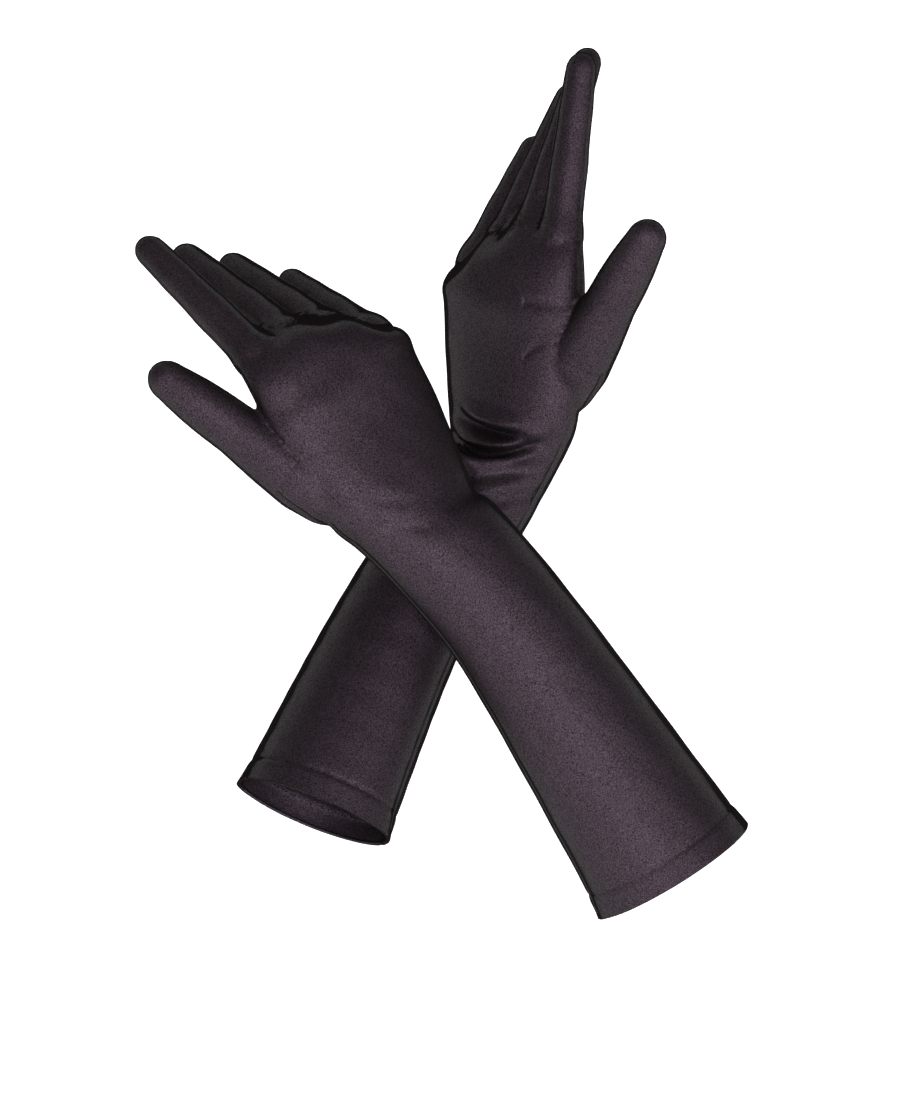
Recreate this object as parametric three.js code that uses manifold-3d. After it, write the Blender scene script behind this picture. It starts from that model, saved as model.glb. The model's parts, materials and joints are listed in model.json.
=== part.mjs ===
/*
 * A pair of elbow-length opera gloves in stretch satin, worn on crossed forearms.
 *
 * Each glove is sewn from flat panels: a back and a palm panel for the sleeve, the wrist and the
 * hand, a folded hem at the cuff, a set-in thumb, and for each finger a back, a palm, the narrow
 * fourchettes on its inner sides and a rounded tip. The cloth is a thin shell with a body inside
 * it only when it is worn, so every sleeve, hand and finger here is hollow and open at the cuff.
 *
 * Units are millimetres, +Z is up, the wearer's fingers point up, and the backs of both hands
 * face -Y. The origin is the centre of the left cuff's opening, where the wearer's arm enters.
 */
import * as THREE from 'three';
import { mergeVertices } from 'three/addons/utils/BufferGeometryUtils.js';
import Module from 'manifold-3d';

const wasm = await Module();
wasm.setup();

// Cloth and seams
const CLOTH = 0.9; // thickness of a panel with its seam allowance
const HEM_CLOTH = 1.5; // thickness of the folded hem
const SEAM_GAP = 0.35; // between two panels sewn edge to edge
const FOLD_GAP = 5; // the stretch left open where a finger creases
const SATIN = { color: 0x3a3238, roughness: 0.5, metalness: 0 };
const HEM_SATIN = { color: 0x2f282d, roughness: 0.55, metalness: 0 };

// Hand, measured from the wrist along the hand and from its middle line towards the thumb
const WEB = 26; // from a knuckle to the web between the fingers
const FINGERS = {
  index: { lateral: 28.8, knuckle: 85, fold: 24, reach: 71, root: 9.2, tip: 7 },
  middle: { lateral: 10, knuckle: 88, fold: 26, reach: 78, root: 8.8, tip: 7.1 },
  ring: { lateral: -8.5, knuckle: 84, fold: 24, reach: 72, root: 8.4, tip: 6.8 },
  little: { lateral: -25.6, knuckle: 75, fold: 19, reach: 56, root: 7.6, tip: 6.1 },
};
const FINGER_DEPTH = 0.92; // a finger's depth over its width
const PIVOT_DEPTH = 0.4; // how far a fold's axis lies towards the palm, over half the depth
const FOURCHETTE = 35; // half the angle that a fourchette takes of a finger's round
const THUMB = { knuckle: 36, fold: 58, reach: 82, root: 17.5, neck: 12.3, middle: 10.8, tip: 9 };

// Sections of the hand: half width, half depth and how square they are (2 is an ellipse)
const HAND_SECTIONS = [
  { along: 14, shift: 2.6, wide: 32.8, deep: 20.5, square: 2.1 },
  { along: 44, shift: 4.4, wide: 38.3, deep: 17, square: 2.3 },
];
const KNUCKLE_SECTION = { shift: 4.4, wide: 38.4, deep: 13, square: 2.5 };
const WEB_SECTION = { shift: 3.2, wide: 36.6, deep: 8.8, square: 2.9 };
const WRIST_SECTION = { wide: 29.5, deep: 21.5, square: 2 };
// Which section ends each stretch, counted from the cuff's edge
const PLACES = { hem: 1, sleeve: 3, heel: 5, web: 8 };
const SECTION_GAP = 0.012; // between two stretches, as a share of the way to the next section

// The pose of each glove. A sleeve's sections run from the cuff's edge to the wrist.
const GLOVES = {
  left: {
    thumbSide: -1,
    cuffBack: [-0.35, -0.94, 0],
    sleeve: [
      { at: [0, 0, 0], wide: 36.5, deep: 31.5 },
      { at: [4.4, 3.4, 9.6], wide: 35.8, deep: 30.9 },
      { at: [38.2, 26, 82.4], wide: 31, deep: 26 },
      { at: [75.5, 39.5, 145.5], wide: 28.5, deep: 22 },
    ],
    wrist: [86.1, 43, 162.3],
    distal: [0.015, -0.12, 0.993],
    back: [-0.67, -0.742, 0],
    bend: { index: 10, middle: 25, ring: 34, little: 37 },
    spread: { index: 0, middle: 0, ring: 0, little: 0 },
    thumb: { root: [37.5, -5, 41], towards: [0.592, 0.06, 0.804], nail: [0.75, 0.65, 0] },
  },
  right: {
    thumbSide: 1,
    cuffBack: [0.25, -0.968, 0],
    sleeve: [
      { at: [159.8, -9, -25.6], wide: 38.5, deep: 32.5 },
      { at: [154.1, -10, -16.2], wide: 37.8, deep: 31.9 },
      { at: [92.8, -19, 77.5], wide: 30, deep: 25.5 },
      { at: [60.5, -22, 117], wide: 29.5, deep: 22.5 },
    ],
    wrist: [48.2, -22, 130.3],
    distal: [-0.47, 0, 0.883],
    back: [0.373, -0.906, 0.2],
    bend: { index: 30, middle: 46, ring: 50, little: 50 },
    spread: { index: 4.5, middle: 0, ring: 0, little: 0 },
    thumb: { root: [38, -6, 40], towards: [0.417, -0.149, 0.897], nail: [0.75, 0.65, 0] },
  },
};

// Resolution of the shells
const PANEL_ACROSS = 12;
const RING_SEGMENTS = 24;
const FINGER_SEGMENTS = 14;

const radians = THREE.MathUtils.degToRad;
const vector = (list) => new THREE.Vector3(...list);

/** Keeps positions only, merges shared corners, drops empty triangles and turns faces outwards. */
function closed(geometry) {
  const bare = new THREE.BufferGeometry();
  bare.setAttribute('position', geometry.getAttribute('position'));
  bare.setIndex(geometry.getIndex());
  const merged = mergeVertices(bare, 1e-4);
  const position = merged.getAttribute('position');
  const corners = [0, 1, 2].map(() => new THREE.Vector3());
  const kept = [];
  let volume = 0;
  for (let i = 0; i < merged.index.count; i += 3) {
    const face = [0, 1, 2].map((k) => merged.index.getX(i + k));
    if (new Set(face).size < 3) continue;
    face.forEach((vertex, k) => corners[k].fromBufferAttribute(position, vertex));
    volume += corners[0].dot(corners[1].clone().cross(corners[2]));
    kept.push(face);
  }
  const order = volume < 0 ? [0, 2, 1] : [0, 1, 2];
  merged.setIndex(kept.flatMap((face) => order.map((k) => face[k])));
  merged.computeVertexNormals();
  return merged;
}

/** Moves every vertex of a geometry by place(x, y, z), which returns a Vector3. */
function warp(geometry, place) {
  const position = geometry.getAttribute('position');
  for (let i = 0; i < position.count; i += 1) {
    const moved = place(position.getX(i), position.getY(i), position.getZ(i));
    position.setXYZ(i, moved.x, moved.y, moved.z);
  }
  return closed(geometry);
}

/** A closed strip of cloth over the angles and lengths given, on surface(angle, length, offset). */
function panel(surface, angles, lengths, across, along, cloth = CLOTH) {
  const box = new THREE.BoxGeometry(1, 1, 1, across, along, 1);
  return warp(box, (x, y, z) =>
    surface(
      THREE.MathUtils.lerp(angles[0], angles[1], x + 0.5),
      THREE.MathUtils.lerp(lengths[0], lengths[1], y + 0.5),
      cloth * (z - 0.5),
    ),
  );
}

/** Turns a closed profile of [offset, length] points round on surface(angle, length, offset). */
function turned(surface, profile, segments) {
  const far = 100; // keeps the profile clear of the axis while it is turned
  const points = profile.map(([offset, length]) => new THREE.Vector2(far + offset, length));
  const lathe = new THREE.LatheGeometry(points, segments);
  return warp(lathe, (x, y, z) => surface(Math.atan2(z, x), y, Math.hypot(x, z) - far));
}

/** The space inside surface(angle, length, offset) between two lengths, as a solid. */
function filled(surface, lengths, rows, segments, offset) {
  const cylinder = new THREE.CylinderGeometry(1, 1, 1, segments, rows);
  return warp(cylinder, (x, y, z) => {
    const length = THREE.MathUtils.lerp(lengths[0], lengths[1], y + 0.5);
    if (Math.hypot(x, z) > 0.5) return surface(Math.atan2(z, x), length, offset);
    return surface(0, length, 0).add(surface(Math.PI, length, 0)).multiplyScalar(0.5);
  });
}

/** An open tube of cloth between two lengths. */
function ring(surface, lengths, rows, segments, cloth) {
  const steps = Array.from({ length: rows + 1 }, (_, i) => i / rows);
  const outer = steps.map((t) => [0, THREE.MathUtils.lerp(lengths[0], lengths[1], t)]);
  const inner = outer.map(([, length]) => [-cloth, length]).reverse();
  return turned(surface, [...outer, ...inner, outer[0]], segments);
}

/** A superellipse's point for an angle from the thumb side over the back of the hand. */
function section(angle, wide, deep, square) {
  const power = 2 / square;
  const cos = Math.cos(angle);
  const sin = Math.sin(angle);
  return [
    wide * Math.sign(cos) * Math.abs(cos) ** power,
    deep * Math.sign(sin) * Math.abs(sin) ** power,
  ];
}

/** Interpolates a per-finger value over the place across the hand. */
function acrossFingers(lateral, value) {
  const names = Object.keys(FINGERS);
  const first = FINGERS[names[0]].lateral;
  if (lateral >= first) return value(names[0]);
  for (let i = 1; i < names.length; i += 1) {
    const high = FINGERS[names[i - 1]].lateral;
    const low = FINGERS[names[i]].lateral;
    if (lateral < low) continue;
    const t = THREE.MathUtils.smoothstep(lateral, low, high);
    return THREE.MathUtils.lerp(value(names[i]), value(names[i - 1]), t);
  }
  return value(names[names.length - 1]);
}

/** The hand's frame: x across, y out of the back of the hand, z along it to the fingers. */
function handMatrix(glove) {
  const distal = vector(glove.distal).normalize();
  const back = vector(glove.back).projectOnPlane(distal).normalize();
  const across = back.clone().cross(distal);
  return new THREE.Matrix4().makeBasis(across, back, distal).setPosition(...glove.wrist);
}

/** The sections of the sleeve and hand, each a function of angle and offset in world space. */
function trunkSections(glove) {
  const hand = handMatrix(glove);
  const handBack = vector(glove.back);
  const centres = glove.sleeve.map((station) => vector(station.at));
  centres.push(vector(glove.wrist));
  const sleeve = glove.sleeve.map((station, i) => {
    const tangent = centres[i + 1].clone().sub(centres[Math.max(i - 1, 0)]).normalize();
    const turn = i / glove.sleeve.length;
    const back = vector(glove.cuffBack).lerp(handBack, turn).projectOnPlane(tangent).normalize();
    const across = back.clone().cross(tangent).multiplyScalar(glove.thumbSide);
    return (angle, offset) => {
      const [x, y] = section(angle, station.wide + offset, station.deep + offset, 2);
      return centres[i].clone().addScaledVector(across, x).addScaledVector(back, y);
    };
  });
  const flat = ({ along = 0, shift = 0, wide, deep, square }) => (angle, offset) => {
    const [x, y] = section(angle, wide + offset, deep + offset, square);
    return new THREE.Vector3(glove.thumbSide * (x + shift), y, along).applyMatrix4(hand);
  };
  const bent = ({ shift, wide, deep, square }, beyond, share) => (angle, offset) => {
    const [x, y] = section(angle, wide + offset, deep + offset, square);
    const lateral = x + shift;
    const knuckle = acrossFingers(lateral, (name) => FINGERS[name].knuckle);
    const bend = radians(acrossFingers(lateral, (name) => glove.bend[name]));
    const point = new THREE.Vector3(0, y * Math.cos(bend * share), y * Math.sin(bend * share));
    point.add(new THREE.Vector3(0, -Math.sin(bend), Math.cos(bend)).multiplyScalar(beyond));
    point.x = glove.thumbSide * lateral;
    point.z += knuckle;
    return point.applyMatrix4(hand);
  };
  return [
    ...sleeve,
    flat(WRIST_SECTION),
    ...HAND_SECTIONS.map(flat),
    bent(KNUCKLE_SECTION, 0, 0.5),
    bent(WEB_SECTION, WEB - FOLD_GAP / 2, 1),
  ];
}

/** The surface of sleeve and hand: length counts sections, from 0 at the cuff's edge. */
function trunkSurface(glove) {
  const sections = trunkSections(glove);
  return (angle, length, offset) => {
    const rib = new THREE.CatmullRomCurve3(sections.map((at) => at(angle, offset)));
    return rib.getPoint(length / (sections.length - 1));
  };
}

/** A tapered round tube along +Z whose half width is given at each length. */
function tubeSurface(widths, depth, pivotDepth = 0) {
  return (angle, length, offset) => {
    const after = Math.max(1, widths.findIndex(([at]) => at >= length));
    const [[from, thin], [to, thick]] = [widths[after - 1], widths[after]];
    const half = THREE.MathUtils.mapLinear(length, from, to, thin, thick);
    return new THREE.Vector3(
      (half + offset) * Math.cos(angle),
      (half * depth + offset) * Math.sin(angle) + pivotDepth,
      length,
    );
  };
}

/** A closed thimble of cloth: an open mouth at one length and a rounded end at the other. */
function thimble(half, tipHalf, depth, mouth, end, pivotDepth) {
  const steps = 5;
  const dome = tipHalf * 1.15;
  const shell = (inset) => {
    const wall = [[half - inset, mouth]];
    for (let i = 0; i < steps; i += 1) {
      const angle = (i / steps) * (Math.PI / 2);
      const height = end - dome + (dome - inset) * Math.sin(angle);
      wall.push([(tipHalf - inset) * Math.cos(angle), height]);
    }
    wall.push([0, end - inset]);
    return wall;
  };
  const profile = [...shell(0).reverse(), ...shell(CLOTH)];
  const points = profile.map(([radius, height]) => new THREE.Vector2(radius, height));
  const lathe = new THREE.LatheGeometry(points, FINGER_SEGMENTS);
  return warp(lathe, (x, y, z) => new THREE.Vector3(x, z * depth + pivotDepth, y));
}

function toManifold(geometry) {
  const vertProperties = Float32Array.from(geometry.getAttribute('position').array);
  const triVerts = Uint32Array.from(geometry.getIndex().array);
  return new wasm.Manifold(new wasm.Mesh({ numProp: 3, vertProperties, triVerts }));
}

function fromManifold(solid) {
  const { numProp, vertProperties, triVerts } = solid.getMesh();
  const geometry = new THREE.BufferGeometry();
  const position = new Float32Array((vertProperties.length / numProp) * 3);
  for (let i = 0; i < position.length / 3; i += 1) {
    position.set(vertProperties.subarray(i * numProp, i * numProp + 3), i * 3);
  }
  geometry.setAttribute('position', new THREE.BufferAttribute(position, 3));
  geometry.setIndex(Array.from(triVerts));
  geometry.computeVertexNormals();
  return geometry;
}

const cut = (geometry, tool) => fromManifold(toManifold(geometry).subtract(toManifold(tool)));

function mesh(name, geometry, finish = SATIN) {
  const piece = new THREE.Mesh(geometry, new THREE.MeshStandardMaterial(finish));
  piece.name = name;
  return piece;
}

/** A pivot at a fold, with x along its axis, z towards the fingertip and y out of the back. */
function pivot(name, position, rotation = [0, 0, 0]) {
  const group = new THREE.Group();
  group.name = name;
  group.position.set(...position);
  group.rotation.set(...rotation, 'YXZ');
  return group;
}

/** One finger: a bend at the web, four-sided cloth up to the fold, and a rounded tip. */
function finger(side, name, glove) {
  const size = FINGERS[name];
  const bend = radians(glove.bend[name]);
  const spread = radians(glove.spread[name]) * glove.thumbSide;
  const inward = PIVOT_DEPTH * FINGER_DEPTH;
  const rootDepth = inward * size.root;
  const neck = THREE.MathUtils.lerp(size.root, size.tip, size.fold / size.reach);
  const foldDepth = inward * neck;

  const root = pivot(
    `${side}_${name}_root`,
    [glove.thumbSide * size.lateral, 0, size.knuckle],
    [bend, spread, 0],
  );
  root.translateZ(WEB);
  root.translateY(-rootDepth);
  const lengths = [FOLD_GAP / 2, size.fold - FOLD_GAP / 2];
  const widths = [[0, size.root], [size.fold, neck]];
  const tube = tubeSurface(widths, FINGER_DEPTH, rootDepth);
  const surface = (angle, length, offset) => {
    const point = tube(angle, length, offset);
    point.x *= glove.thumbSide;
    return point;
  };
  const gap = SEAM_GAP / 2 / size.root;
  const edge = radians(FOURCHETTE);
  const innerEdge = name === 'little' ? Math.PI : Math.PI - edge;
  const outerEdge = name === 'index' ? 0 : edge;
  const strip = (piece, from, to, across) => {
    const shell = panel(surface, [from + gap, to - gap], lengths, across, 1);
    root.add(mesh(`${side}_${name}_${piece}`, shell));
  };
  strip('back', outerEdge, innerEdge, 6);
  strip('palm', 2 * Math.PI - innerEdge, 2 * Math.PI - outerEdge, 6);
  if (name !== 'little') strip('fourchette_inner', Math.PI - edge, Math.PI + edge, 3);
  if (name !== 'index') strip('fourchette_outer', -edge, edge, 3);

  const fold = pivot(`${side}_${name}_fold`, [0, rootDepth - foldDepth, size.fold]);
  const end = size.reach - size.fold;
  const tip = thimble(neck, size.tip, FINGER_DEPTH, FOLD_GAP / 2, end, foldDepth);
  fold.add(mesh(`${side}_${name}_tip`, tip));
  root.add(fold);
  return root;
}

/** The thumb beyond its gusset: a middle tube and a rounded tip, and the gusset's surface. */
function thumb(side, glove) {
  const { root, towards, nail } = glove.thumb;
  const mirrored = (list) => vector(list).setX(list[0] * glove.thumbSide);
  const along = mirrored(towards).normalize();
  const back = mirrored(nail).projectOnPlane(along).normalize();
  const start = new THREE.Group();
  start.name = `${side}_thumb_start`;
  start.applyMatrix4(new THREE.Matrix4().makeBasis(back.clone().cross(along), back, along));
  start.position.copy(mirrored(root));

  const tube = tubeSurface([[0, THUMB.root], [THUMB.knuckle, THUMB.neck]], FINGER_DEPTH);
  const gap = FOLD_GAP / 2;
  const inward = PIVOT_DEPTH * FINGER_DEPTH;
  const rootDepth = inward * THUMB.neck;
  const foldDepth = inward * THUMB.middle;
  const knuckle = pivot(`${side}_thumb_root`, [0, -rootDepth, THUMB.knuckle]);
  const span = THUMB.fold - THUMB.knuckle;
  const neckWidths = [[0, THUMB.neck], [span, THUMB.middle]];
  const neck = ring(
    tubeSurface(neckWidths, FINGER_DEPTH, rootDepth), [gap, span - gap], 1, FINGER_SEGMENTS, CLOTH,
  );
  knuckle.add(mesh(`${side}_thumb_base`, neck));
  const fold = pivot(`${side}_thumb_fold`, [0, rootDepth - foldDepth, span]);
  const end = THUMB.reach - THUMB.fold;
  const tip = thimble(THUMB.middle, THUMB.tip, FINGER_DEPTH, gap, end, foldDepth);
  fold.add(mesh(`${side}_thumb_tip`, tip));
  knuckle.add(fold);
  start.add(knuckle);
  return { start, tube };
}

/** One glove, with its sleeve and hand in world space and its fingers in nested pivots. */
function glovePart(side) {
  const glove = GLOVES[side];
  const group = new THREE.Group();
  const surface = trunkSurface(glove);
  const hand = pivot(`${side}_wrist`, [0, 0, 0]);
  hand.applyMatrix4(handMatrix(glove));
  const cuffHem = ring(surface, [0, PLACES.hem], 1, RING_SEGMENTS, HEM_CLOTH);
  group.add(mesh(`${side}_cuff_hem`, cuffHem, HEM_SATIN));

  const seam = SEAM_GAP / 2 / WRIST_SECTION.wide;
  const halves = { back: [seam, Math.PI - seam], palm: [Math.PI + seam, 2 * Math.PI - seam] };
  const stretches = {
    sleeve: [PLACES.hem + 3 * SECTION_GAP, PLACES.sleeve],
    wrist: [PLACES.sleeve + SECTION_GAP, PLACES.heel - SECTION_GAP],
    hand: [PLACES.heel, PLACES.web],
  };
  const rows = { sleeve: 5, wrist: 2, hand: 6 };

  const { start, tube } = thumb(side, glove);
  hand.add(start);
  for (const name of Object.keys(FINGERS)) hand.add(finger(side, name, glove));
  group.add(hand);
  group.updateMatrixWorld(true);

  // The gusset ends on the hand's surface, and both hand panels are open where it leaves them
  const core = filled(surface, stretches.hand, rows.hand, RING_SEGMENTS, SEAM_GAP);
  const bore = filled(tube, [0, THUMB.knuckle], 2, FINGER_SEGMENTS, SEAM_GAP);
  bore.applyMatrix4(start.matrixWorld);
  const gusset = ring(tube, [0, THUMB.knuckle - FOLD_GAP / 2], 4, FINGER_SEGMENTS, CLOTH);
  gusset.applyMatrix4(start.matrixWorld);
  group.add(mesh(`${side}_thumb_gusset`, cut(gusset, core)));

  for (const [part, lengths] of Object.entries(stretches)) {
    for (const [half, angles] of Object.entries(halves)) {
      const shell = panel(surface, angles, lengths, PANEL_ACROSS, rows[part]);
      const shape = part === 'hand' ? cut(shell, bore) : shell;
      group.add(mesh(`${side}_${part}_${half}`, shape));
    }
  }
  return group;
}

const pair = new THREE.Group();
pair.add(glovePart('left'), glovePart('right'));

export default pair;
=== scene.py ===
import json
import math

import bpy
import numpy as np
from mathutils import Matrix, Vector
from mathutils.kdtree import KDTree


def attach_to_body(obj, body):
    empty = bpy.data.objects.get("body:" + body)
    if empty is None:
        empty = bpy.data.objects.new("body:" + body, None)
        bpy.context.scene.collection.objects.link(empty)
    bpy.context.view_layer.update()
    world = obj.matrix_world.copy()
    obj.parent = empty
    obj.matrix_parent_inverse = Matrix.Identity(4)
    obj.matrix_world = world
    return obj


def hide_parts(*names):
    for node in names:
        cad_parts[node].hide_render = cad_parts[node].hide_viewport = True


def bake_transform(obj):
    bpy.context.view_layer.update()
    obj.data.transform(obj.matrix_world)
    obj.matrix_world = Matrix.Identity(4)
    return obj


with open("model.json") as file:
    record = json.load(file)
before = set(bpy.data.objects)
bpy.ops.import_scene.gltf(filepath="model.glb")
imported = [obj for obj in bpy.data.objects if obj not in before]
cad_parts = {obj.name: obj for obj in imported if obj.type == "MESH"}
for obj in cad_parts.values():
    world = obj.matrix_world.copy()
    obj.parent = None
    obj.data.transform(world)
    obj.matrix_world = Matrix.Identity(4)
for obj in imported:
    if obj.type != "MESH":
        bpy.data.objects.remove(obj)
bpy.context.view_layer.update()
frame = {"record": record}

# A pair of stretch-satin opera gloves, worn on crossed forearms. Every glove is grown as one
# skin over its sleeve, hand, fingers and thumb, drawn tight as stretch cloth is, and then cut
# along its seams into the panels that it is sewn from. Lengths in this script are millimetres
# until a mesh is made, when they become metres. The stage and its lights are in metres.
MM = 0.001
TINY = 1e-7  # keeps a field over the skin off exactly zero
RECORD = frame["record"]
JOINTS = {joint["name"]: joint for joint in RECORD["behaviour"]["joints"]}

# Cloth
VOXEL = 1.1  # grain of the skin before it is drawn tight
TIGHTEN = 14  # rounds of smoothing, each a shrink and a smaller swell
CLOTH = 0.5  # thickness of one layer of satin
HEM_CLOTH = 1.1  # thickness of the folded hem
HEM_HEIGHT = 11.0
SEAM_DEPTH = 0.3  # how deep a side seam sinks between its panels

# The hand, as on the design: along from the wrist and across towards the thumb
KNUCKLE_ALONG = 86.0  # how far along the row of knuckles counts as lying
WEB = 26.0  # from a knuckle to the web beside it
FINGERS = {
    "index": {"lateral": 28.8, "knuckle": 85.0, "fold": 24.0, "reach": 71.0, "root": 9.3, "tip": 7.0},
    "middle": {"lateral": 10.0, "knuckle": 88.0, "fold": 26.0, "reach": 78.0, "root": 8.9, "tip": 7.0},
    "ring": {"lateral": -8.5, "knuckle": 84.0, "fold": 24.0, "reach": 72.0, "root": 8.6, "tip": 6.7},
    "little": {"lateral": -25.6, "knuckle": 75.0, "fold": 19.0, "reach": 56.0, "root": 8.2, "tip": 6.1},
}
FINGER_SUNK = 20.0  # how far a finger's form runs back into the hand
FINGER_SWELL = 1.8  # how much wider it is there, halfway to the knuckle
FINGER_DEPTH = 0.92  # of a finger's width
PIVOT_DEPTH = 0.4  # of half that depth, from a finger's middle to its joints
RING_STEP = 2.5  # between the rings of a finger's or the thumb's form
FOURCHETTE = math.radians(35)  # half of the turn round a finger that a fourchette takes
THUMB_REACH = 82.0
THUMB_ROUND = 10.5  # length of the thumb's rounded end
# Half width of the thumb at distances along it from where it leaves the hand
THUMB_SIZES = [
    (-34, 5.0), (-26, 10.0), (-14, 13.8), (0, 15.4), (18, 14.0), (36, 11.9), (48, 11.6), (58, 10.9),
    (68, 9.6), (76, 8.2),
]

HAND_SECTIONS = [
    {"along": 0, "shift": 1.8, "wide": 30.2, "back": 20.5, "palm": 21.0, "square": 2.0},
    {"along": 16, "shift": 4.4, "wide": 34.8, "back": 19.5, "palm": 20.0, "square": 2.1},
    {"along": 44, "shift": 4.6, "wide": 38.2, "back": 17.2, "palm": 16.0, "square": 2.3},
    {"along": 66, "shift": 4.8, "wide": 39.0, "back": 17.2, "palm": 13.5, "square": 2.4},
]
KNUCKLES = {"shift": 4.8, "wide": 38.2, "back": 13.6, "palm": 12.0, "square": 2.5}
WEB_SECTION = {"shift": 3.2, "wide": 35.2, "back": 5.0, "palm": 6.5, "square": 2.6}

GLOVES = {
    "left": {
        "side": -1,
        "cuff_back": (-0.35, -0.94, 0),
        "sleeve": [
            {"at": (-4, -3, -10), "wide": 37.0, "deep": 32.0},
            {"at": (0, 0, 0), "wide": 36.5, "deep": 31.5},
            {"at": (4.4, 3.4, 9.6), "wide": 35.8, "deep": 30.9},
            {"at": (38.2, 26, 82.4), "wide": 31.0, "deep": 26.0},
            {"at": (75.5, 39.5, 145.5), "wide": 28.5, "deep": 22.0},
        ],
        "distal": (0.015, -0.12, 0.993),
        "back": (-0.67, -0.742, 0),
        "thumb": {"root": (37.5, -5, 41), "towards": (0.592, 0.06, 0.804), "nail": (0.75, 0.65, 0)},
    },
    "right": {
        "side": 1,
        "cuff_back": (0.25, -0.968, 0),
        "sleeve": [
            {"at": (165.5, -8, -35.0), "wide": 39.2, "deep": 33.1},
            {"at": (159.8, -9, -25.6), "wide": 38.5, "deep": 32.5},
            {"at": (154.1, -10, -16.2), "wide": 37.8, "deep": 31.9},
            {"at": (92.8, -19, 77.5), "wide": 30.0, "deep": 25.5},
            {"at": (60.5, -22, 117), "wide": 29.5, "deep": 22.5},
        ],
        "distal": (-0.47, 0, 0.883),
        "back": (0.373, -0.906, 0.2),
        "thumb": {"root": (38, -6, 40), "towards": (0.417, -0.149, 0.897), "nail": (0.75, 0.65, 0)},
    },
}
CUFF = 1  # which section of the sleeve is the cuff's edge


# ---------------------------------------------------------------- frames and small tools
def unit(v):
    v = np.asarray(v, float)
    return v / np.linalg.norm(v)


def off_axis(v, axis):
    """v with its part along axis taken out, as a unit vector."""
    v = np.asarray(v, float)
    return unit(v - axis * np.dot(v, axis))


class Place:
    """A right-handed frame in millimetres: x across, y out of the back, z towards the tips."""

    def __init__(self, origin, y, z):
        self.origin = np.asarray(origin, float)
        self.z = unit(z)
        self.y = off_axis(y, self.z)
        self.x = np.cross(self.y, self.z)

    def out(self, points):
        points = np.asarray(points, float)
        axes = np.stack([self.x, self.y, self.z])
        return self.origin + points @ axes

    def into(self, points):
        axes = np.stack([self.x, self.y, self.z])
        return (np.asarray(points, float) - self.origin) @ axes.T


def joint_at(name):
    joint = JOINTS[name]
    return np.array(joint["pos_m"]) / MM, unit(joint["axis"])


def smooth_step(t):
    t = np.clip(t, 0, 1)
    return t * t * (3 - 2 * t)


def catmull(points, per_span):
    """Catmull-Rom through a list of equal arrays, per_span steps to a span."""
    points = [np.asarray(p, float) for p in points]
    points = [2 * points[0] - points[1]] + points + [2 * points[-1] - points[-2]]
    out = []
    for i in range(1, len(points) - 2):
        a, b, c, d = points[i - 1 : i + 3]
        for t in np.arange(per_span) / per_span:
            out.append(
                b
                + 0.5 * t * (c - a)
                + t * t * (a - 2.5 * b + 2 * c - 0.5 * d)
                + t**3 * (1.5 * b - 1.5 * c + 0.5 * d - 0.5 * a)
            )
    out.append(points[-2])
    return np.array(out)


# ---------------------------------------------------------------- the form inside the cloth
ROUND = 96  # points round a section
ANGLES = np.arange(ROUND) * 2 * math.pi / ROUND


def section(wide, back, palm, square):
    """Points round a section, from the thumb side over the back."""
    power = 2 / square
    cos, sin = np.cos(ANGLES), np.sin(ANGLES)
    x = wide * np.sign(cos) * np.abs(cos) ** power
    deep = np.where(sin > 0, back, palm)
    return x, deep * np.sign(sin) * np.abs(sin) ** power


def across_fingers(lateral, values):
    """A value for each finger, blended over the place across the hand."""
    names = list(FINGERS)
    places = [FINGERS[name]["lateral"] for name in names]
    out = np.full(lateral.shape, float(values[names[0]]))
    for high, low in zip(range(len(names) - 1), range(1, len(names))):
        t = smooth_step((lateral - places[low]) / (places[high] - places[low]))
        span = values[names[low]] + t * (values[names[high]] - values[names[low]])
        out = np.where(lateral < places[high], span, out)
    return out


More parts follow.
